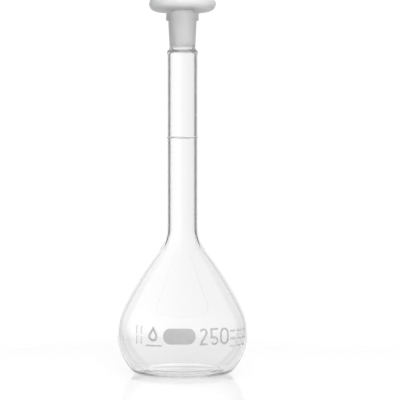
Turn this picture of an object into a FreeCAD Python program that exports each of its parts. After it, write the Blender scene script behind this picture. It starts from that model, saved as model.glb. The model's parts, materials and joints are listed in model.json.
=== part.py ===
import FreeCAD
import Part
import math
import os

# A 250 ml volumetric flask of borosilicate glass with a 14/23 ground joint and a polyethylene stopper.
# Lengths are in millimetres and angles in degrees. The flask stands on z = 0 with its axis on Z,
# and its enamel marks face -Y.

# Body: a chain of tangent arcs from the foot up to the neck.
BODY_RADIUS = 40.0
WIDEST_HEIGHT = 24.9
LOWER_ARC = 33.5
UPPER_ARC = 37.0
UPPER_ARC_END = 26.3
FLANK_ARC = 180.0
HEEL_ARC = 6.7
THROAT_TOP = 89.4
WALL = 0.95

# Foot: a narrow ring to stand on, round a middle that is pushed up. From the ring inwards its section
# has a gutter arc, a bank arc and a very flat crown arc.
RING_WIDTH = 1.4
PUSH_UP = 3.0
FOOT_GLASS = 1.4
GUTTER_ARC = 1.5
BANK_ARC = 2.0
INNER_GUTTER_ARC = 2.0
INNER_BANK_ARC = 2.8
CROWN_ARC = 300.0
INNER_LOWER_ARC = 32.0
INNER_HEEL_ARC = 6.5

# Neck.
NECK_RADIUS = 9.5
BORE_RADIUS = 7.75
NECK_TOP = 195.0
CAPACITY_ML = 250.0

# Socket: standard ground joint 14/23, with a taper of 1 in 10 on the diameter.
RIM_HEIGHT = 221.5
JOINT_RADIUS = 7.25
JOINT_LENGTH = 23.0
TAPER_PER_SIDE = 0.05
JOINT_WALL = 1.8
COLLAR_RADIUS = 10.2
COLLAR_LENGTH = 4.9
COLLAR_TOP_ROUNDING = 1.3
COLLAR_FOOT_ROUNDING = 0.7
COLLAR_ROOT_ROUNDING = 0.4
MOUTH_ROUNDING = 0.4

# Shoulders between neck and socket, outside and inside: where each starts, how far up it goes, and the
# radius of its lower, rounded arc.
OUTER_SHOULDER = (197.1, 3.1, 2.1)
INNER_SHOULDER_RISE = 3.0
INNER_SHOULDER_ARC = 2.4

# Stopper: a hollow tapered shank, closed below, under a wide round head.
JOINT_CLEARANCE = 0.04
SHANK_END = 201.1
SHANK_WALL = 1.7
HEAD_UNDERSIDE = 222.6
HEAD_RADIUS = 20.5
HEAD_EDGE_ARC = 4.2
DISH_RADIUS = 14.2
DISH_DEPTH = 1.6
SHANK_TIP_ROUNDING = 0.8
SHANK_ROOT_ROUNDING = 0.3
DISH_ROUNDING = 0.7
CORE_MOUTH_ROUNDING = 0.6
CORE_END_ROUNDING = 1.2

# Enamel marks. An azimuth is measured round the axis from -Y, positive towards +X.
ENAMEL = 0.1
RING_MARK_WIDTH = 0.5
PATCH_SIZE = (19.2, 9.4)
PATCH_CORNER = 4.3
PATCH_PLACE = (-2.75, 25.7)
DIGIT_HEIGHT = 10.0
DIGIT_STROKE = 1.15
DIGIT_MIDDLE = 25.4
TWO_PLACE = (18.4, 4.9)
FIVE_PLACE = (28.4, 5.1)
ZERO_PLACE = (38.9, 6.5)
DROP_PLACE = (-26.0, 27.0)
DROP_RADIUS = 3.0
DROP_HEIGHT = 8.9
DROP_STROKE = 1.3
BAR_PLACE = (-25.6, 20.0)
BAR_SIZE = (10.4, 0.7)
SIDE_AZIMUTH = -40.6
SIDE_DASH = (0.7, 4.9)
SIDE_DASH_HEIGHTS = (23.1, 29.2)
SIDE_COLUMNS = (-1.8, 1.8)

# Lines of dashes: height of the line, then width and height of a dash. The azimuths are shared.
LINE_AZIMUTHS = (49.0, 58.5, 68.0)
LINES = {
    "upper_line": (28.2, 4.4, 1.4),
    "middle_line": (23.5, 4.4, 1.4),
    "lower_line": (19.2, 4.4, 0.8),
}
PRINT_DEPTH = 16.0
BAND = (17.5, 33.0)

UP = FreeCAD.Vector(0, 0, 1)
ORIGIN = FreeCAD.Vector(0, 0, 0)


def point(radius, height):
    """A point of a profile, in the half-plane that turns about the axis."""
    return FreeCAD.Vector(radius, 0, height)


def polar(centre, radius, angle):
    """The (radius, height) of the point on a circle at an angle above the horizontal."""
    turn = math.radians(angle)
    return (centre[0] + radius * math.cos(turn), centre[1] + radius * math.sin(turn))


def line(start, end):
    return Part.LineSegment(point(*start), point(*end)).toShape()


def arc(centre, radius, start, end):
    """An arc of a profile, from one angle to another."""
    middle = (start + end) / 2
    ends = [point(*polar(centre, radius, angle)) for angle in (start, middle, end)]
    return Part.Arc(*ends).toShape()


def turned(edges):
    """The solid that a closed profile makes when it turns about the axis."""
    face = Part.Face(Part.Wire(edges))
    return face.revolve(ORIGIN, UP, 360)


def ogee(lower, upper, lower_radius):
    """Two arcs, upright at both ends, from the lower point in to the upper one."""
    step_in = lower[0] - upper[0]
    rise = upper[1] - lower[1]
    sweep = math.degrees(2 * math.atan2(step_in, rise))
    upper_radius = rise / math.sin(math.radians(sweep)) - lower_radius
    first = arc((lower[0] - lower_radius, lower[1]), lower_radius, 0, sweep)
    second = arc((upper[0] + upper_radius, upper[1]), upper_radius, 180 + sweep, 180)
    return [first, second]


def round_corners(solid, sizes):
    """Rounds the circular edges found at each (radius, height) to the size given for it."""
    for (radius, height), size in sizes.items():
        place = Part.Vertex(point(radius, height))
        there = [edge for edge in solid.Edges if edge.distToShape(place)[0] < 1e-4]
        solid = solid.makeFillet(size, [edge for edge in there if edge.Length > radius])
    return solid


def heel(lower_centre, lower_radius, heel_radius, base_height):
    """The heel's centre and end angle: it stands on base_height and meets the lower arc smoothly."""
    rise = lower_centre[1] - base_height - heel_radius
    reach = math.sqrt((lower_radius - heel_radius) ** 2 - rise**2)
    centre = (lower_centre[0] + reach, base_height + heel_radius)
    return centre, -math.degrees(math.atan2(rise, reach))


def throat(flank_centre, flank_radius, neck_radius):
    """The hollow arc from the flank up to the neck: its radius, centre and start angle."""
    across = neck_radius - flank_centre[0]
    rise = THROAT_TOP - flank_centre[1]
    radius = (across**2 + rise**2 - flank_radius**2) / (2 * (flank_radius - across))
    centre = (neck_radius + radius, THROAT_TOP)
    return radius, centre, math.degrees(math.atan2(rise, across + radius))


def upper_centre():
    return (BODY_RADIUS - UPPER_ARC, WIDEST_HEIGHT)


def body_side(inset, lower_radius, heel_radius, base_height, neck_radius):
    """The edges of one face of the body wall from its heel to the neck, and the heel's centre."""
    widest = BODY_RADIUS - inset
    lower_centre = (widest - lower_radius, WIDEST_HEIGHT)
    heel_centre, heel_end = heel(lower_centre, lower_radius, heel_radius, base_height)
    upper_radius = UPPER_ARC - inset
    flank_radius = FLANK_ARC - inset
    flank_centre = polar(upper_centre(), UPPER_ARC - FLANK_ARC, UPPER_ARC_END)
    throat_radius, throat_centre, flank_end = throat(flank_centre, flank_radius, neck_radius)
    edges = [
        arc(heel_centre, heel_radius, -90, heel_end),
        arc(lower_centre, lower_radius, heel_end, 0),
        arc(upper_centre(), upper_radius, 0, UPPER_ARC_END),
        arc(flank_centre, flank_radius, UPPER_ARC_END, flank_end),
        arc(throat_centre, throat_radius, 180 + flank_end, 180),
    ]
    return edges, heel_centre


def pushed_up(edge_radius, edge_height, gutter_radius, bank_radius, crown_height):
    """The pushed-up middle of the foot: three arcs, from the axis out to its edge."""
    crown_centre = (0, crown_height - CROWN_ARC)
    gutter_centre = (edge_radius, edge_height + gutter_radius)
    reach = CROWN_ARC - bank_radius
    rise = gutter_centre[1] - crown_centre[1]
    far = math.hypot(edge_radius, rise)
    along = (far**2 + reach**2 - (gutter_radius + bank_radius) ** 2) / (2 * reach)
    slope = math.degrees(math.atan2(edge_radius, rise) - math.acos(along / far))
    bank_centre = polar(crown_centre, reach, 90 - slope)
    down = gutter_centre[1] - bank_centre[1]
    steep = math.degrees(math.atan2(down, gutter_centre[0] - bank_centre[0]))
    return [
        arc(crown_centre, CROWN_ARC, 90, 90 - slope),
        arc(bank_centre, bank_radius, 90 - slope, steep),
        arc(gutter_centre, gutter_radius, steep - 180, -90),
    ]


def inner_body():
    """The inside of the bulb: its floor, from the axis out, and its side up to the neck."""
    side, heel_centre = body_side(WALL, INNER_LOWER_ARC, INNER_HEEL_ARC, FOOT_GLASS, BORE_RADIUS)
    crown = PUSH_UP + FOOT_GLASS
    return pushed_up(heel_centre[0], FOOT_GLASS, INNER_GUTTER_ARC, INNER_BANK_ARC, crown), side


def bulb():
    outer, outer_heel = body_side(0, LOWER_ARC, HEEL_ARC, 0, NECK_RADIUS)
    floor, inner = inner_body()
    ring_inside = outer_heel[0] - RING_WIDTH
    foot = pushed_up(ring_inside, 0, GUTTER_ARC, BANK_ARC, PUSH_UP)
    ring = [line((ring_inside, 0), (outer_heel[0], 0))]
    top = [line((NECK_RADIUS, THROAT_TOP), (BORE_RADIUS, THROAT_TOP))]
    axis = [line((0, PUSH_UP + FOOT_GLASS), (0, PUSH_UP))]
    return turned(foot + ring + outer + top + inner[::-1] + floor[::-1] + axis)


def bulb_capacity():
    """The volume inside the bulb up to the top of the throat."""
    floor, inner = inner_body()
    top = [line((BORE_RADIUS, THROAT_TOP), (0, THROAT_TOP))]
    axis = [line((0, THROAT_TOP), (0, PUSH_UP + FOOT_GLASS))]
    return turned(floor + inner + top + axis).Volume


def mark_height():
    """The height at which the flask holds its stated capacity."""
    rest = CAPACITY_ML * 1000 - bulb_capacity()
    return THROAT_TOP + rest / (math.pi * BORE_RADIUS**2)


def tube(inner_radius, outer_radius, bottom, top):
    section = [(inner_radius, bottom), (outer_radius, bottom), (outer_radius, top), (inner_radius, top)]
    return turned([line(section[i - 1], section[i]) for i in range(4)])


def ground_radius(height):
    """The radius of the socket's ground face at a height."""
    return JOINT_RADIUS - TAPER_PER_SIDE * (RIM_HEIGHT - height)


def joint_socket():
    ground_end = RIM_HEIGHT - JOINT_LENGTH
    outer_start, outer_rise, outer_arc = OUTER_SHOULDER
    inner_start = ground_end - INNER_SHOULDER_RISE
    shoulder_end = outer_start + outer_rise
    collar_start = RIM_HEIGHT - COLLAR_LENGTH
    outer_low = (ground_radius(shoulder_end) + JOINT_WALL, shoulder_end)
    outer_high = (ground_radius(collar_start) + JOINT_WALL, collar_start)
    inner_low = (ground_radius(ground_end), ground_end)
    edges = [line((BORE_RADIUS, NECK_TOP), (NECK_RADIUS, NECK_TOP))]
    edges += [line((NECK_RADIUS, NECK_TOP), (NECK_RADIUS, outer_start))]
    edges += ogee((NECK_RADIUS, outer_start), outer_low, outer_arc)
    edges += [line(outer_low, outer_high)]
    edges += [line(outer_high, (COLLAR_RADIUS, collar_start))]
    edges += [line((COLLAR_RADIUS, collar_start), (COLLAR_RADIUS, RIM_HEIGHT))]
    edges += [line((COLLAR_RADIUS, RIM_HEIGHT), (JOINT_RADIUS, RIM_HEIGHT))]
    edges += [line((JOINT_RADIUS, RIM_HEIGHT), inner_low)]
    edges += ogee((BORE_RADIUS, inner_start), inner_low, INNER_SHOULDER_ARC)[::-1]
    edges += [line((BORE_RADIUS, inner_start), (BORE_RADIUS, NECK_TOP))]
    corners = {
        outer_high: COLLAR_ROOT_ROUNDING,
        (COLLAR_RADIUS, collar_start): COLLAR_FOOT_ROUNDING,
        (COLLAR_RADIUS, RIM_HEIGHT): COLLAR_TOP_ROUNDING,
        (JOINT_RADIUS, RIM_HEIGHT): MOUTH_ROUNDING,
    }
    return round_corners(turned(edges), corners)


def stopper():
    def shank_radius(height):
        return ground_radius(height) - JOINT_CLEARANCE

    head_top = HEAD_UNDERSIDE + 2 * HEAD_EDGE_ARC
    edge_centre = (HEAD_RADIUS - HEAD_EDGE_ARC, HEAD_UNDERSIDE + HEAD_EDGE_ARC)
    dish_floor = head_top - DISH_DEPTH
    core_top = shank_radius(HEAD_UNDERSIDE) - SHANK_WALL
    core_end = shank_radius(SHANK_END) - SHANK_WALL
    outline = [
        (0, SHANK_END),
        (shank_radius(SHANK_END), SHANK_END),
        (shank_radius(HEAD_UNDERSIDE), HEAD_UNDERSIDE),
        (edge_centre[0], HEAD_UNDERSIDE),
        (edge_centre[0], head_top),
        (DISH_RADIUS, head_top),
        (DISH_RADIUS, dish_floor),
        (core_top, dish_floor),
        (core_end, SHANK_END + SHANK_WALL),
        (0, SHANK_END + SHANK_WALL),
    ]
    edges = [line(a, b) for a, b in zip(outline, outline[1:] + outline[:1])]
    edges[3] = arc(edge_centre, HEAD_EDGE_ARC, -90, 90)
    corners = {
        outline[1]: SHANK_TIP_ROUNDING,
        outline[2]: SHANK_ROOT_ROUNDING,
        outline[5]: DISH_ROUNDING,
        outline[6]: DISH_ROUNDING,
        outline[7]: CORE_MOUTH_ROUNDING,
        outline[8]: CORE_END_ROUNDING,
    }
    return round_corners(turned(edges), corners)


def enamel_band():
    """A skin of enamel over the front of the body, from which the printed marks are cut."""
    lower_centre = (BODY_RADIUS - LOWER_ARC, WIDEST_HEIGHT)
    low_angle = math.degrees(math.asin((BAND[0] - WIDEST_HEIGHT) / LOWER_ARC))
    high_angle = math.degrees(math.asin((BAND[1] - WIDEST_HEIGHT) / UPPER_ARC))
    inner = [arc(lower_centre, LOWER_ARC, low_angle, 0), arc(upper_centre(), UPPER_ARC, 0, high_angle)]
    outer = [
        arc(upper_centre(), UPPER_ARC + ENAMEL, high_angle, 0),
        arc(lower_centre, LOWER_ARC + ENAMEL, 0, low_angle),
    ]
    skin_high = polar(upper_centre(), UPPER_ARC + ENAMEL, high_angle)
    skin_low = polar(lower_centre, LOWER_ARC + ENAMEL, low_angle)
    top = [line(polar(upper_centre(), UPPER_ARC, high_angle), skin_high)]
    bottom = [line(skin_low, polar(lower_centre, LOWER_ARC, low_angle))]
    return turned(inner + top + outer + bottom)


def flat(x, y):
    """A point of a mark's flat drawing, x to the right and y up."""
    return FreeCAD.Vector(x, 0, y)


def closed(edges):
    return Part.Face(Part.Wire(edges))


def rectangle(x, y, width, height):
    """A rectangle about its middle."""
    corners = [
        flat(x - width / 2, y - height / 2),
        flat(x + width / 2, y - height / 2),
        flat(x + width / 2, y + height / 2),
        flat(x - width / 2, y + height / 2),
    ]
    return Part.Face(Part.makePolygon(corners + corners[:1]))


def rounded(x, y, width, height, corner):
    """A rectangle about its middle, with round corners."""
    right = width / 2 - corner
    top = height / 2 - corner
    turns = [(right, top, 0), (-right, top, 90), (-right, -top, 180), (right, -top, 270)]
    arcs = [drawn_arc(x + across, y + up, corner, start, start + 90) for across, up, start in turns]
    sides = []
    for here, following in zip(arcs, arcs[1:] + arcs[:1]):
        sides.append(here)
        gap = following.firstVertex().Point - here.lastVertex().Point
        if gap.Length > 1e-6:
            sides.append(Part.LineSegment(here.lastVertex().Point, following.firstVertex().Point).toShape())
    return closed(sides)


def drawn_arc(x, y, radius, start, end):
    """An arc of a flat drawing, counterclockwise from start to end."""
    points = []
    for angle in (start, (start + end) / 2, end):
        turn = math.radians(angle)
        points.append(flat(x + radius * math.cos(turn), y + radius * math.sin(turn)))
    return Part.Arc(*points).toShape()


def bow(x, y, radius, start, end, stroke):
    """A curved stroke along an arc."""
    outer = drawn_arc(x, y, radius + stroke / 2, start, end)
    inner = drawn_arc(x, y, radius - stroke / 2, start, end)
    ends = [
        Part.LineSegment(outer.lastVertex().Point, inner.lastVertex().Point).toShape(),
        Part.LineSegment(inner.firstVertex().Point, outer.firstVertex().Point).toShape(),
    ]
    return Part.Face(Part.Wire(Part.__sortEdges__([outer, inner] + ends)))


def slanted(start, end, stroke):
    """A straight stroke from one point to another."""
    along = flat(*end) - flat(*start)
    side = FreeCAD.Vector(-along.z, 0, along.x).normalize() * (stroke / 2)
    corners = [flat(*start) + side, flat(*start) - side, flat(*end) - side, flat(*end) + side]
    return Part.Face(Part.makePolygon(corners + corners[:1]))


def two(width):
    """The figure 2: a bow over the top, a slanting stroke and a foot."""
    radius = (width - DIGIT_STROKE) / 2
    top = DIGIT_HEIGHT / 2 - DIGIT_STROKE / 2 - radius
    foot = -DIGIT_HEIGHT / 2 + DIGIT_STROKE / 2
    leave = math.radians(-32)
    joint = (radius * math.cos(leave), top + radius * math.sin(leave))
    return [
        bow(0, top, radius, -32, 160, DIGIT_STROKE),
        slanted(joint, (-radius, foot), DIGIT_STROKE),
        rectangle(0, foot, width, DIGIT_STROKE),
    ]


def five(width):
    """The figure 5: a bar, a short upright and a bowl."""
    radius = (width - DIGIT_STROKE) / 2
    top = DIGIT_HEIGHT / 2 - DIGIT_STROKE / 2
    bowl = -DIGIT_HEIGHT / 2 + DIGIT_STROKE / 2 + radius
    left = -width / 2 + DIGIT_STROKE / 2
    shelf = bowl + radius
    return [
        rectangle(0, top, width, DIGIT_STROKE),
        rectangle(left, (top + shelf) / 2, DIGIT_STROKE, top - shelf + DIGIT_STROKE),
        rectangle(left / 2, shelf, -left + DIGIT_STROKE / 2, DIGIT_STROKE),
        bow(0, bowl, radius, -150, 90, DIGIT_STROKE),
    ]


def zero(width):
    """The figure 0: a tall ring with round ends."""
    outside = rounded(0, 0, width, DIGIT_HEIGHT, width / 2 - 0.01)
    inner_width = width - 2 * DIGIT_STROKE
    inside = rounded(0, 0, inner_width, DIGIT_HEIGHT - 2 * DIGIT_STROKE, inner_width / 2 - 0.01)
    return [outside.cut(inside)]


def drop():
    """A drop in outline: a round bowl below a point, with a smaller drop cut out."""
    def shape(radius, tip):
        start = math.degrees(math.asin(radius / tip))
        bowl = drawn_arc(0, 0, radius, 180 - start, 360 + start)
        point_up = flat(0, tip)
        sides = [
            Part.LineSegment(bowl.lastVertex().Point, point_up).toShape(),
            Part.LineSegment(point_up, bowl.firstVertex().Point).toShape(),
        ]
        return closed([bowl] + sides)

    tip = DROP_HEIGHT - DROP_RADIUS
    inner_radius = DROP_RADIUS - DROP_STROKE
    drawing = shape(DROP_RADIUS, tip).cut(shape(inner_radius, tip * inner_radius / DROP_RADIUS))
    drawing.translate(flat(0, (DROP_RADIUS - tip) / 2))
    return [drawing]


def printed(band, drawings, place):
    """Enamel on the body: flat drawings pressed straight in at an (azimuth, height), as one solid each."""
    azimuth, height = place
    distance = BODY_RADIUS + 2.0
    stamp = None
    for drawing in drawings:
        prism = drawing.extrude(FreeCAD.Vector(0, PRINT_DEPTH, 0))
        stamp = prism if stamp is None else stamp.fuse(prism)
    stamp = stamp.removeSplitter()
    stamp.translate(FreeCAD.Vector(0, -distance, height))
    stamp.rotate(ORIGIN, UP, azimuth)
    return stamp.common(band)


def save(name, shape):
    """Writes one node, made of all the solids of its shape."""
    solids = shape.Solids
    whole = solids[0] if len(solids) == 1 else Part.makeCompound(solids)
    whole.exportStep(f"parts/{name}.step")
    print(f"{name}: {len(solids)} solids, {whole.Volume:.3f} mm3, valid {whole.isValid()}")


def main():
    os.makedirs("parts", exist_ok=True)
    ring_height = mark_height()
    print(f"the flask holds {CAPACITY_ML:.0f} ml at a height of {ring_height:.2f} mm")
    half_ring = RING_MARK_WIDTH / 2
    save("bulb", bulb())
    save("neck_tube", tube(BORE_RADIUS, NECK_RADIUS, THROAT_TOP, NECK_TOP))
    save("joint_socket", joint_socket())
    save("stopper", stopper())
    ring = tube(NECK_RADIUS, NECK_RADIUS + ENAMEL, ring_height - half_ring, ring_height + half_ring)
    save("graduation_ring", ring)

    band = enamel_band()
    save("writing_patch", printed(band, [rounded(0, 0, *PATCH_SIZE, PATCH_CORNER)], PATCH_PLACE))
    for name, digit, (azimuth, width) in (
        ("digit_two", two, TWO_PLACE),
        ("digit_five", five, FIVE_PLACE),
        ("digit_zero", zero, ZERO_PLACE),
    ):
        save(name, printed(band, digit(width), (azimuth, DIGIT_MIDDLE)))
    save("drop_emblem", printed(band, drop(), DROP_PLACE))
    save("emblem_bar", printed(band, [rectangle(0, 0, *BAR_SIZE)], BAR_PLACE))
    side = [
        printed(band, [rectangle(x, z - WIDEST_HEIGHT, *SIDE_DASH)], (SIDE_AZIMUTH, WIDEST_HEIGHT))
        for x in SIDE_COLUMNS
        for z in SIDE_DASH_HEIGHTS
    ]
    save("side_dashes", Part.makeCompound(side))
    for name, (height, width, tall) in LINES.items():
        dashes = [printed(band, [rectangle(0, 0, width, tall)], (turn, height)) for turn in LINE_AZIMUTHS]
        save(name, Part.makeCompound(dashes))


main()
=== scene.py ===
import json
import math

import bmesh
import bpy
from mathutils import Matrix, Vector


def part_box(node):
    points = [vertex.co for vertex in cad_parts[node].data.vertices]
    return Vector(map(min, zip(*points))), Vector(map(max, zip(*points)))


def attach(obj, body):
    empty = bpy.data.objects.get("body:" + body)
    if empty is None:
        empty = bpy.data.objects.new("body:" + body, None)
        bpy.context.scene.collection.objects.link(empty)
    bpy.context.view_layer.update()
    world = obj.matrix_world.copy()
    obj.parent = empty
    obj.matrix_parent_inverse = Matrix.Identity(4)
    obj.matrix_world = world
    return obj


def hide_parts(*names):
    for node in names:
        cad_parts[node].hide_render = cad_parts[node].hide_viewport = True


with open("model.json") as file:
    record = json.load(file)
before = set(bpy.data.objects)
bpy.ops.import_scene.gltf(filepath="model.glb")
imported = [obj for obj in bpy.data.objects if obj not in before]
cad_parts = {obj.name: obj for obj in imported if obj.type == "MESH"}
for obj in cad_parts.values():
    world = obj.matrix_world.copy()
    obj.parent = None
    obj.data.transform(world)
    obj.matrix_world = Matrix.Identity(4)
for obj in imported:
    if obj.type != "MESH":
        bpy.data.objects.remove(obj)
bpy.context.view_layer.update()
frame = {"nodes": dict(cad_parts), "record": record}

MM = 0.001

# Glass, repeated from the CAD part, in millimetres.
BODY_RADIUS = 40.0
WIDEST_HEIGHT = 24.9
LOWER_ARC = 33.5
UPPER_ARC = 37.0
UPPER_ARC_END = 26.3
FLANK_ARC = 180.0
HEEL_ARC = 6.7
THROAT_TOP = 89.4
WALL = 0.95
RING_WIDTH = 1.4
PUSH_UP = 3.0
FOOT_GLASS = 1.4
GUTTER_ARC = 1.5
BANK_ARC = 2.0
INNER_GUTTER_ARC = 2.0
INNER_BANK_ARC = 2.8
CROWN_ARC = 300.0
INNER_LOWER_ARC = 32.0
INNER_HEEL_ARC = 6.5
NECK_RADIUS = 9.5
BORE_RADIUS = 7.75
RIM_HEIGHT = 221.5
JOINT_RADIUS = 7.25
JOINT_LENGTH = 23.0
TAPER_PER_SIDE = 0.05
JOINT_WALL = 1.8
COLLAR_RADIUS = 10.2
COLLAR_LENGTH = 4.9
COLLAR_ROUNDINGS = {1: 0.4, 2: 0.7, 3: 1.3}
MOUTH_ROUNDING = 0.4

# Where the ground cone is matt: points this near it, and this far from its two ends.
NEAR_CONE = 0.3
CLEAR_BELOW = 0.3
CLEAR_ABOVE = 0.1

# Shoulders between neck and socket: where the outer one starts, how far up each goes, and the radius of
# its lower arc.
OUTER_SHOULDER = (197.1, 3.1, 2.1)
INNER_SHOULDER_RISE = 3.0
INNER_SHOULDER_ARC = 2.4

# Stopper, with the roundings of its outline's corners by their place in the list of points.
SHANK_GAP = 0.06
SHANK_END = 201.1
SHANK_WALL = 1.7
HEAD_UNDERSIDE = 222.6
HEAD_RADIUS = 20.5
HEAD_EDGE_ARC = 4.2
DISH_RADIUS = 14.2
DISH_DEPTH = 1.6
SHANK_ROUNDINGS = {1: 0.8, 2: 0.3}
DISH_ROUNDINGS = {1: 0.7, 2: 0.7, 3: 0.6, 4: 1.2}

# How finely the turned meshes are cut, and how sharp an edge between faces stays unsmoothed, in degrees.
GLASS_TURNS = 192
STOPPER_TURNS = 128
SHARP_EDGE = 32

# Points of a profile nearer than this, in millimetres, are one point.
SAME_PLACE = 1e-5

# Enamel marks: how deep they sink into the glass, and how near the glass their inner skin starts out.
# The fine lines are printed thinner than the number and the patch, and look paler.
EMBED = 0.03
INNER_SKIN = 0.04
FINE_PRINT = ("graduation_ring", "side_dashes", "upper_line", "middle_line", "lower_line")
ENAMEL_TONES = (0.53, 0.66)
FINE_PRINT_TONES = (0.78, 0.90)

# Glass and plastic.
GLASS_IOR = 1.473
GLASS_TINT = (0.5, 0.515, 0.51, 1)
GLASS_DENSITY = 10.0
GROUND_CLEARNESS = 0.1
GROUND_WHITENESS = 1.0
GROUND_ROUGHNESS = (0.45, 0.60)
PLASTIC_IOR = 1.51
PLASTIC_TONES = (0.80, 0.87)

# Camera, in metres and millimetres of lens and sensor.
CAMERA_PLACE = (0, -1.0, 0.10557)
CAMERA_LENS = 146.4
CAMERA_SENSOR = 36.0
CAMERA_SHIFT = (0.0439, 0.0034)

# Table, in metres: solid out to TABLE_SOLID, and gone from TABLE_END. It glows a little, more as the
# camera sees it, and not at all as it lights matt surfaces.
FLOOR_DROP = 0.0002
FLOOR_RADIUS = 0.6
TABLE_GLOW = 0.56
CAMERA_LIFT = 0.36
TABLE_SPILL = 0.0
TABLE_TONE = 0.5
TABLE_IOR = 1.5
TABLE_ROUGHNESS = 0.075
MOST_MIRROR = 0.60
TABLE_SOLID = 0.20
TABLE_END = 0.35

# How bright the studio is round the horizon: degrees from straight ahead of the camera at the photo's
# place (positive to the right), and brightness. First as seen through the glass: a white backdrop ahead,
# and beside it two narrow dark flags on each side, with a gap between them.
ROOM = [
    (-180, 0.50), (-172, 0.85), (-150, 0.90), (-120, 0.80), (-64, 0.80), (-60, 0.01), (-48, 0.01),
    (-47, 0.85), (-43, 0.85), (-42, 0.01), (-29, 0.01), (-25, 0.93), (-10, 1.03), (-3, 1.04), (-1, 1.02),
    (0, 0.98), (1, 0.95), (4, 0.91), (12, 0.88), (25, 0.84), (29, 0.00), (42, 0.00), (43, 0.85), (47, 0.85),
    (48, 0.00), (64, 0.00), (68, 0.80), (115, 0.80), (150, 0.90), (172, 0.85), (180, 0.50),
]
# Then as it lights the matt surfaces: mostly from a large soft box in front, a little to the right.
LIGHTS = [
    (-180, 4.00), (-165, 1.60), (-147, 0.08), (-60, 0.04), (-25, 1.00), (25, 1.00), (60, 0.04), (115, 0.10),
    (140, 0.30), (153, 1.50), (164, 4.20), (172, 5.00), (180, 4.00),
]
# Then as gloss mirrors it, and as the camera itself sees it: pale all round.
GLEAM = 0.98
BACKDROP = 1.05
# Below and above the horizon it is pale too. The fades go by the sine of the height above the horizon.
BELOW = 0.90
BELOW_FADE = (-0.20, -0.09)
OVERHEAD = 0.75
OVERHEAD_FADE = (0.50, 0.85)

# Light paths, long enough for light to cross every wall of glass.
MOST_BOUNCES = 48
MOST_GLASS_BOUNCES = 40


def polar(centre, radius, angle):
    """The point at an angle, in degrees, on a circle."""
    turn = math.radians(angle)
    return (centre[0] + radius * math.cos(turn), centre[1] + radius * math.sin(turn))


def arc(centre, radius, start, end, step=0.6):
    """Points along an arc of a profile, a step of about so many millimetres apart."""
    length = abs(math.radians(end - start)) * radius
    count = max(4, round(length / step), round(abs(end - start) / 9))
    return [polar(centre, radius, start + (end - start) * i / count) for i in range(count + 1)]


def line(start, end, step=4.0):
    """Points along a straight stretch of a profile, its end included."""
    count = max(1, round(math.dist(start, end) / step))
    return [tuple(a + (b - a) * i / count for a, b in zip(start, end)) for i in range(count + 1)]


def joined(*stretches):
    """One list of profile points, without the doubles where two stretches meet."""
    points = []
    for stretch in stretches:
        for place in stretch:
            if not points or math.dist(points[-1], place) > SAME_PLACE:
                points.append(place)
    return points


def corner(before, place, after, radius):
    """A rounded corner between two straight stretches of a profile."""
    to_before = Vector(before) - Vector(place)
    to_after = Vector(after) - Vector(place)
    to_before.normalize()
    to_after.normalize()
    half = math.acos(max(-1.0, min(1.0, to_before.dot(to_after)))) / 2
    reach = radius / math.tan(half)
    centre = Vector(place) + (to_before + to_after).normalized() * (radius / math.sin(half))
    start = Vector(place) + to_before * reach - centre
    end = Vector(place) + to_after * reach - centre
    first = math.degrees(math.atan2(start.y, start.x))
    turn = math.degrees(math.atan2(end.y, end.x)) - first
    turn = (turn + 180) % 360 - 180
    return arc(tuple(centre), radius, first, first + turn, step=0.12)


def outline(points, corners):
    """A profile through points, with the corners at the given indices rounded."""
    stretches = []
    for i, place in enumerate(points):
        if i in corners:
            stretches.append(corner(points[i - 1], place, points[i + 1], corners[i]))
        else:
            stretches.append([place])
    rough = joined(*stretches)
    return joined(*[line(a, b) for a, b in zip(rough, rough[1:])])


def ogee(lower, upper, lower_radius):
    """Two arcs, upright at both ends, from the lower point in to the upper one."""
    step_in = lower[0] - upper[0]
    rise = upper[1] - lower[1]
    sweep = math.degrees(2 * math.atan2(step_in, rise))
    upper_radius = rise / math.sin(math.radians(sweep)) - lower_radius
    first = arc((lower[0] - lower_radius, lower[1]), lower_radius, 0, sweep, step=0.15)
    second = arc((upper[0] + upper_radius, upper[1]), upper_radius, 180 + sweep, 180, step=0.15)
    return joined(first, second)


def throat(flank_centre, flank_radius, neck_radius):
    """The hollow arc from flank to neck: its radius, its centre, and the angle at which the flank ends."""
    across = neck_radius - flank_centre[0]
    rise = THROAT_TOP - flank_centre[1]
    radius = (across**2 + rise**2 - flank_radius**2) / (2 * (flank_radius - across))
    return radius, (neck_radius + radius, THROAT_TOP), math.degrees(math.atan2(rise, across + radius))


def body_side(inset, lower_radius, heel_radius, base_height, neck_radius):
    """One face of the body wall from its heel to the neck, and the heel's distance from the axis."""
    widest = BODY_RADIUS - inset
    lower_centre = (widest - lower_radius, WIDEST_HEIGHT)
    rise = WIDEST_HEIGHT - base_height - heel_radius
    reach = math.sqrt((lower_radius - heel_radius) ** 2 - rise**2)
    heel_centre = (lower_centre[0] + reach, base_height + heel_radius)
    heel_end = -math.degrees(math.atan2(rise, reach))
    upper_centre = (BODY_RADIUS - UPPER_ARC, WIDEST_HEIGHT)
    flank_centre = polar(upper_centre, UPPER_ARC - FLANK_ARC, UPPER_ARC_END)
    flank_radius = FLANK_ARC - inset
    throat_radius, throat_centre, flank_end = throat(flank_centre, flank_radius, neck_radius)
    points = joined(
        arc(heel_centre, heel_radius, -90, heel_end, step=0.4),
        arc(lower_centre, lower_radius, heel_end, 0),
        arc(upper_centre, UPPER_ARC - inset, 0, UPPER_ARC_END),
        arc(flank_centre, flank_radius, UPPER_ARC_END, flank_end, step=1.0),
        arc(throat_centre, throat_radius, 180 + flank_end, 180),
    )
    return points, heel_centre[0]


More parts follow.
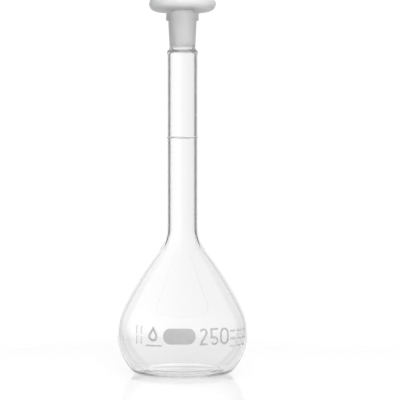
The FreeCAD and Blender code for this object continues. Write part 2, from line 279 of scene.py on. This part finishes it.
def pushed_up(edge_radius, edge_height, gutter_radius, bank_radius, crown_height):
    """The pushed-up middle of the foot, from the axis out to its edge: crown, bank and gutter arcs."""
    crown_centre = (0, crown_height - CROWN_ARC)
    gutter_centre = (edge_radius, edge_height + gutter_radius)
    reach = CROWN_ARC - bank_radius
    rise = gutter_centre[1] - crown_centre[1]
    far = math.hypot(edge_radius, rise)
    along = (far**2 + reach**2 - (gutter_radius + bank_radius) ** 2) / (2 * reach)
    slope = math.degrees(math.atan2(edge_radius, rise) - math.acos(along / far))
    bank_centre = polar(crown_centre, reach, 90 - slope)
    down = gutter_centre[1] - bank_centre[1]
    steep = math.degrees(math.atan2(down, gutter_centre[0] - bank_centre[0]))
    return joined(
        arc(crown_centre, CROWN_ARC, 90, 90 - slope, step=1.5),
        arc(bank_centre, bank_radius, 90 - slope, steep, step=0.3),
        arc(gutter_centre, gutter_radius, steep - 180, -90, step=0.3),
    )


def ground_radius(height):
    """How far the ground cone is from the axis."""
    return JOINT_RADIUS - TAPER_PER_SIDE * (RIM_HEIGHT - height)


def outer_glass():
    """The outside of the glass, from the middle of the foot up to the rim."""
    side, heel_radius = body_side(0, LOWER_ARC, HEEL_ARC, 0, NECK_RADIUS)
    foot = pushed_up(heel_radius - RING_WIDTH, 0, GUTTER_ARC, BANK_ARC, PUSH_UP)
    shoulder_start, shoulder_rise, shoulder_arc = OUTER_SHOULDER
    shoulder_end = shoulder_start + shoulder_rise
    collar_start = RIM_HEIGHT - COLLAR_LENGTH
    cone_low = (ground_radius(shoulder_end) + JOINT_WALL, shoulder_end)
    shoulder = ogee((NECK_RADIUS, shoulder_start), cone_low, shoulder_arc)
    collar = outline(
        [
            cone_low,
            (ground_radius(collar_start) + JOINT_WALL, collar_start),
            (COLLAR_RADIUS, collar_start),
            (COLLAR_RADIUS, RIM_HEIGHT),
            ((COLLAR_RADIUS + JOINT_RADIUS) / 2, RIM_HEIGHT),
        ],
        COLLAR_ROUNDINGS,
    )
    neck = line((NECK_RADIUS, THROAT_TOP), (NECK_RADIUS, shoulder_start))
    return joined(foot, side, neck, shoulder, collar)


def inner_glass():
    """The inside of the glass, from the rim down to the middle of the floor."""
    side, heel_radius = body_side(WALL, INNER_LOWER_ARC, INNER_HEEL_ARC, FOOT_GLASS, BORE_RADIUS)
    ground_end = RIM_HEIGHT - JOINT_LENGTH
    shoulder_start = ground_end - INNER_SHOULDER_RISE
    low = (ground_radius(ground_end), ground_end)
    mouth = outline(
        [((COLLAR_RADIUS + JOINT_RADIUS) / 2, RIM_HEIGHT), (JOINT_RADIUS, RIM_HEIGHT), low],
        {1: MOUTH_ROUNDING},
    )
    shoulder = ogee((BORE_RADIUS, shoulder_start), low, INNER_SHOULDER_ARC)[::-1]
    neck = line((BORE_RADIUS, shoulder_start), (BORE_RADIUS, THROAT_TOP))
    floor = pushed_up(heel_radius, FOOT_GLASS, INNER_GUTTER_ARC, INNER_BANK_ARC, PUSH_UP + FOOT_GLASS)
    return joined(mouth, shoulder, neck, side[::-1], floor[::-1])


def lathe(name, profile, turns):
    """A closed mesh that a profile in millimetres makes when it turns about the axis."""
    mesh = bpy.data.meshes.new(name)
    work = bmesh.new()
    rings = []
    for radius, height in profile:
        if radius < SAME_PLACE:
            rings.append([work.verts.new((0, 0, height * MM))])
            continue
        ring = []
        for i in range(turns):
            x, y = polar((0, 0), radius * MM, 360 * i / turns)
            ring.append(work.verts.new((x, y, height * MM)))
        rings.append(ring)
    for low, high in zip(rings, rings[1:]):
        for i in range(turns):
            j = (i + 1) % turns
            if len(low) == 1:
                work.faces.new((low[0], high[j], high[i]))
            elif len(high) == 1:
                work.faces.new((low[i], low[j], high[0]))
            else:
                work.faces.new((low[i], low[j], high[j], high[i]))
    bmesh.ops.recalc_face_normals(work, faces=work.faces)
    for edge in work.edges:
        edge.smooth = edge.calc_face_angle(0) < math.radians(SHARP_EDGE)
    work.to_mesh(mesh)
    work.free()
    mesh.shade_smooth()
    piece = bpy.data.objects.new(name, mesh)
    bpy.context.scene.collection.objects.link(piece)
    return piece


def glass_vessel():
    """The whole vessel as one skin of glass: outside, rim, ground cone and inside."""
    piece = lathe("glass_vessel", joined(outer_glass(), inner_glass()), GLASS_TURNS)
    mark_ground(piece.data)
    return piece


def mark_ground(mesh):
    """Stores where the inside of the socket is ground: 1 on the cone, 0 on clear glass."""
    ground = mesh.attributes.new("ground", "FLOAT", "POINT")
    low = RIM_HEIGHT - JOINT_LENGTH
    values = []
    for vertex in mesh.vertices:
        height = vertex.co.z / MM
        radius = math.hypot(vertex.co.x, vertex.co.y) / MM
        inside = radius < ground_radius(height) + NEAR_CONE
        on_cone = low + CLEAR_BELOW < height < RIM_HEIGHT - CLEAR_ABOVE
        values.append(1.0 if inside and on_cone else 0.0)
    ground.data.foreach_set("value", values)


def stopper_piece():
    """The stopper: shank closed below, wide round head with a dish and the core's hole on top."""
    def shank_radius(height):
        return ground_radius(height) - SHANK_GAP

    head_top = HEAD_UNDERSIDE + 2 * HEAD_EDGE_ARC
    edge_centre = (HEAD_RADIUS - HEAD_EDGE_ARC, HEAD_UNDERSIDE + HEAD_EDGE_ARC)
    floor = head_top - DISH_DEPTH
    lower = outline(
        [
            (0, SHANK_END),
            (shank_radius(SHANK_END), SHANK_END),
            (shank_radius(HEAD_UNDERSIDE), HEAD_UNDERSIDE),
            (edge_centre[0], HEAD_UNDERSIDE),
        ],
        SHANK_ROUNDINGS,
    )
    edge = arc(edge_centre, HEAD_EDGE_ARC, -90, 90, step=0.35)
    upper = outline(
        [
            (edge_centre[0], head_top),
            (DISH_RADIUS, head_top),
            (DISH_RADIUS, floor),
            (shank_radius(HEAD_UNDERSIDE) - SHANK_WALL, floor),
            (shank_radius(SHANK_END) - SHANK_WALL, SHANK_END + SHANK_WALL),
            (0, SHANK_END + SHANK_WALL),
        ],
        DISH_ROUNDINGS,
    )
    return lathe("stopper_moulding", joined(lower, edge, upper), STOPPER_TURNS)


def enamel_mark(node):
    """A mark as the CAD draws it, with its inner skin sunk a little into the glass, as fired enamel is."""
    source = frame["nodes"][node]
    mesh = source.data.copy()
    mesh.name = f"{node}_print"
    on_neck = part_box(node)[0].z > THROAT_TOP * MM
    for vertex in mesh.vertices:
        radius = math.hypot(vertex.co.x, vertex.co.y)
        height = vertex.co.z / MM
        surface = NECK_RADIUS if on_neck else body_radius(height)
        if radius / MM < surface + INNER_SKIN:
            shrink = (radius - EMBED * MM) / radius
            vertex.co.x *= shrink
            vertex.co.y *= shrink
    piece = bpy.data.objects.new(f"{node}_print", mesh)
    bpy.context.scene.collection.objects.link(piece)
    return piece


def body_radius(height):
    """How far the outside of the body is from the axis near its widest part."""
    arc_radius = LOWER_ARC if height < WIDEST_HEIGHT else UPPER_ARC
    return BODY_RADIUS - arc_radius + math.sqrt(arc_radius**2 - (height - WIDEST_HEIGHT) ** 2)


def grey(level):
    return (level, level, level, 1)


def new_material(name):
    material = bpy.data.materials.new(name)
    material.use_nodes = True
    tree = material.node_tree
    return material, tree, tree.nodes["Principled BSDF"]


def add(tree, kind, **values):
    """A node with its settings and its plain input values."""
    node = tree.nodes.new(kind)
    for name, value in values.items():
        if name in node.inputs:
            node.inputs[name].default_value = value
        else:
            setattr(node, name, value)
    return node


def grain(tree, scale, detail=3.0):
    """Noise over the object's own coordinates."""
    place = add(tree, "ShaderNodeTexCoord")
    texture = add(tree, "ShaderNodeTexNoise", Scale=scale, Detail=detail)
    tree.links.new(place.outputs["Object"], texture.inputs["Vector"])
    return texture.outputs["Fac"]


def spread(tree, value, low, high):
    """Maps a value from 0..1 to low..high."""
    node = add(tree, "ShaderNodeMapRange")
    node.inputs["To Min"].default_value = low
    node.inputs["To Max"].default_value = high
    tree.links.new(value, node.inputs["Value"])
    return node.outputs["Result"]


def bump(tree, shader, height, strength, distance):
    """Small unevenness of a surface, a distance in metres deep."""
    node = add(tree, "ShaderNodeBump", Strength=strength, Distance=distance)
    tree.links.new(height, node.inputs["Height"])
    tree.links.new(node.outputs["Normal"], shader.inputs["Normal"])


def capped(tree, value, most):
    """The smaller of a value and a fixed limit."""
    node = add(tree, "ShaderNodeMath", operation="MINIMUM")
    tree.links.new(value, node.inputs[0])
    node.inputs[1].default_value = most
    return node.outputs["Value"]


def ease(tree, value, start, end):
    """0 up to start, 1 from end on, and a smooth rise between."""
    node = add(tree, "ShaderNodeMapRange", interpolation_type="SMOOTHSTEP")
    node.inputs["From Min"].default_value = start
    node.inputs["From Max"].default_value = end
    tree.links.new(value, node.inputs["Value"])
    return node.outputs["Result"]


def mottle(tree, shader, tones, scale):
    """Colours a surface unevenly, from one grey to another."""
    node = add(tree, "ShaderNodeValToRGB")
    for element, tone in zip(node.color_ramp.elements, tones):
        element.color = grey(tone)
    tree.links.new(grain(tree, scale), node.inputs["Fac"])
    tree.links.new(node.outputs["Color"], shader.inputs["Base Color"])


def glass_material():
    """Clear borosilicate glass. Where the socket is ground it is a fine matt white that lets less through."""
    material, tree, shader = new_material("borosilicate_glass")
    shader.inputs["IOR"].default_value = GLASS_IOR
    mask = add(tree, "ShaderNodeAttribute", attribute_name="ground").outputs["Fac"]
    rough = add(tree, "ShaderNodeMath", operation="MULTIPLY")
    tree.links.new(mask, rough.inputs[0])
    tree.links.new(spread(tree, grain(tree, scale=900.0), *GROUND_ROUGHNESS), rough.inputs[1])
    tree.links.new(rough.outputs["Value"], shader.inputs["Roughness"])
    tree.links.new(spread(tree, mask, 1.0, GROUND_CLEARNESS), shader.inputs["Transmission Weight"])
    tree.links.new(spread(tree, mask, 1.0, GROUND_WHITENESS), shader.inputs["Base Color"])
    absorb = add(tree, "ShaderNodeVolumeAbsorption", Color=GLASS_TINT, Density=GLASS_DENSITY)
    tree.links.new(absorb.outputs["Volume"], tree.nodes["Material Output"].inputs["Volume"])
    return material


def enamel_material(name, tones):
    """Fired enamel: satin grey-white, a little uneven in tone and in height."""
    material, tree, shader = new_material(name)
    mottle(tree, shader, tones, scale=260.0)
    tree.links.new(spread(tree, grain(tree, scale=500.0), low=0.38, high=0.55), shader.inputs["Roughness"])
    bump(tree, shader, grain(tree, scale=2600.0, detail=2.0), strength=0.25, distance=0.00004)
    return material


def polyethylene_material():
    """Milky polyethylene: light goes a little way in, and the moulded skin is satin."""
    material, tree, shader = new_material("polyethylene")
    mottle(tree, shader, PLASTIC_TONES, scale=60.0)
    tree.links.new(spread(tree, grain(tree, scale=320.0), low=0.34, high=0.46), shader.inputs["Roughness"])
    shader.inputs["Subsurface Weight"].default_value = 0.5
    shader.inputs["Subsurface Radius"].default_value = (1.0, 1.0, 1.0)
    shader.inputs["Subsurface Scale"].default_value = 0.003
    shader.inputs["IOR"].default_value = PLASTIC_IOR
    bump(tree, shader, grain(tree, scale=1400.0, detail=2.0), strength=0.15, distance=0.00005)
    return material


def paint(piece, material, body):
    """Gives a piece its only material and the body it rides on."""
    piece.data.materials.clear()
    piece.data.materials.append(material)
    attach(piece, body)


def floor_material():
    """A glossy white table: a bright layer under a clear skin that mirrors most at low angles."""
    material, tree, shader = new_material("white_table")
    tree.nodes.remove(shader)
    material.cycles.emission_sampling = "NONE"
    path = add(tree, "ShaderNodeLightPath")
    lift = add(tree, "ShaderNodeMath", operation="MULTIPLY_ADD")
    tree.links.new(path.outputs["Is Camera Ray"], lift.inputs[0])
    lift.inputs[1].default_value = CAMERA_LIFT
    tree.links.new(spread(tree, path.outputs["Is Diffuse Ray"], TABLE_GLOW, TABLE_SPILL), lift.inputs[2])
    glow = add(tree, "ShaderNodeEmission")
    tree.links.new(lift.outputs["Value"], glow.inputs["Strength"])
    plain = add(tree, "ShaderNodeBsdfDiffuse", Color=grey(TABLE_TONE))
    under = add(tree, "ShaderNodeAddShader")
    tree.links.new(glow.outputs[0], under.inputs[0])
    tree.links.new(plain.outputs[0], under.inputs[1])
    gloss = add(tree, "ShaderNodeBsdfGlossy", distribution="MULTI_GGX", Roughness=TABLE_ROUGHNESS)
    skin = add(tree, "ShaderNodeFresnel", IOR=TABLE_IOR)
    solid = add(tree, "ShaderNodeMixShader")
    tree.links.new(capped(tree, skin.outputs[0], MOST_MIRROR), solid.inputs["Fac"])
    tree.links.new(under.outputs[0], solid.inputs[1])
    tree.links.new(gloss.outputs[0], solid.inputs[2])
    # It fades out to nothing, except as it lights matt surfaces.
    place = add(tree, "ShaderNodeTexCoord")
    reach = add(tree, "ShaderNodeVectorMath", operation="LENGTH")
    tree.links.new(place.outputs["Object"], reach.inputs[0])
    thin = add(tree, "ShaderNodeMath", operation="MULTIPLY")
    tree.links.new(ease(tree, reach.outputs["Value"], TABLE_SOLID, TABLE_END), thin.inputs[0])
    tree.links.new(spread(tree, path.outputs["Is Diffuse Ray"], 1.0, 0.0), thin.inputs[1])
    clear = add(tree, "ShaderNodeBsdfTransparent")
    whole = add(tree, "ShaderNodeMixShader")
    tree.links.new(thin.outputs["Value"], whole.inputs["Fac"])
    tree.links.new(solid.outputs[0], whole.inputs[1])
    tree.links.new(clear.outputs[0], whole.inputs[2])
    tree.links.new(whole.outputs[0], tree.nodes["Material Output"].inputs["Surface"])
    return material


def make_floor():
    """A round table top just under the foot."""
    mesh = bpy.data.meshes.new("table")
    work = bmesh.new()
    bmesh.ops.create_circle(work, cap_ends=True, segments=64, radius=FLOOR_RADIUS)
    work.to_mesh(mesh)
    work.free()
    mesh.materials.append(floor_material())
    table = bpy.data.objects.new("table", mesh)
    table.location.z = -FLOOR_DROP
    bpy.context.scene.collection.objects.link(table)


def ring(tree, share, levels):
    """Brightness round the horizon, from a list of (degrees, level)."""
    node = add(tree, "ShaderNodeValToRGB")
    ramp = node.color_ramp
    for i, (angle, level) in enumerate(levels):
        place = (angle + 180) / 360
        element = ramp.elements[i] if i < 2 else ramp.elements.new(place)
        element.position = place
        element.color = grey(level)
    tree.links.new(share, node.inputs["Fac"])
    return node.outputs["Color"]


def either(tree, share, low, high):
    """A mix of two brightnesses, each a fixed level or a socket: low where share is 0, high where it is 1."""
    node = add(tree, "ShaderNodeMix", data_type="RGBA")
    tree.links.new(share, node.inputs["Factor"])
    for level, socket in ((low, node.inputs[6]), (high, node.inputs[7])):
        if isinstance(level, float):
            socket.default_value = grey(level)
        else:
            tree.links.new(level, socket)
    return node.outputs[2]


def make_world():
    """The studio around the object. The camera itself sees plain white behind it."""
    world = bpy.data.worlds.new("studio")
    world.use_nodes = True
    # Lit only by the rays that reach it, so that Light Path can tell matt surfaces from glass.
    world.cycles.sampling_method = "NONE"
    bpy.context.scene.world = world
    tree = world.node_tree
    ahead = add(tree, "ShaderNodeTexCoord")
    axes = add(tree, "ShaderNodeSeparateXYZ")
    tree.links.new(ahead.outputs["Generated"], axes.inputs[0])
    azimuth = add(tree, "ShaderNodeMath", operation="ARCTAN2")
    tree.links.new(axes.outputs["X"], azimuth.inputs[0])
    tree.links.new(axes.outputs["Y"], azimuth.inputs[1])
    share = add(tree, "ShaderNodeMapRange")
    share.inputs["From Min"].default_value = -math.pi
    share.inputs["From Max"].default_value = math.pi
    tree.links.new(azimuth.outputs[0], share.inputs["Value"])
    round_about = share.outputs["Result"]
    path = add(tree, "ShaderNodeLightPath")
    through_glass = capped(tree, path.outputs["Transmission Depth"], 1)
    from_matt = capped(tree, path.outputs["Diffuse Depth"], 1)
    seen = either(tree, through_glass, GLEAM, ring(tree, round_about, ROOM))
    seen = either(tree, ease(tree, axes.outputs["Z"], *BELOW_FADE), BELOW, seen)
    level = either(tree, from_matt, seen, ring(tree, round_about, LIGHTS))
    level = either(tree, ease(tree, axes.outputs["Z"], *OVERHEAD_FADE), level, OVERHEAD)
    room = add(tree, "ShaderNodeBackground")
    tree.links.new(level, room.inputs["Color"])
    white = add(tree, "ShaderNodeBackground", Color=grey(1), Strength=BACKDROP)
    choose = add(tree, "ShaderNodeMixShader")
    tree.links.new(path.outputs["Is Camera Ray"], choose.inputs[0])
    tree.links.new(room.outputs[0], choose.inputs[1])
    tree.links.new(white.outputs[0], choose.inputs[2])
    tree.links.new(choose.outputs[0], tree.nodes["World Output"].inputs["Surface"])


def make_camera():
    """A level camera in front of the object, at the photo's distance and height."""
    data = bpy.data.cameras.new("camera")
    data.lens = CAMERA_LENS
    data.sensor_width = CAMERA_SENSOR
    data.shift_x = CAMERA_SHIFT[0]
    data.shift_y = CAMERA_SHIFT[1]
    data.dof.use_dof = False
    camera = bpy.data.objects.new("camera", data)
    camera.location = CAMERA_PLACE
    camera.rotation_euler = (math.radians(90), 0, 0)
    bpy.context.scene.collection.objects.link(camera)
    bpy.context.scene.camera = camera


bpy.context.scene.view_settings.view_transform = "Standard"
cycles = bpy.context.scene.cycles
cycles.max_bounces = MOST_BOUNCES
cycles.glossy_bounces = MOST_GLASS_BOUNCES
cycles.transmission_bounces = MOST_GLASS_BOUNCES
make_camera()
make_world()
make_floor()

glass = glass_vessel()
paint(glass, glass_material(), "flask")
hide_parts("bulb", "neck_tube", "joint_socket")

plug = stopper_piece()
paint(plug, polyethylene_material(), "stopper")
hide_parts("stopper")

enamel = enamel_material("white_enamel", ENAMEL_TONES)
thin_enamel = enamel_material("thin_white_enamel", FINE_PRINT_TONES)
slots = {row["node"]: row["material_slot"] for row in frame["record"]["subparts"]}
for node in sorted(frame["nodes"]):
    if slots[node] == "white_enamel":
        mark = enamel_mark(node)
        paint(mark, thin_enamel if node in FINE_PRINT else enamel, "flask")
        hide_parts(node)

bpy.context.view_layer.update()
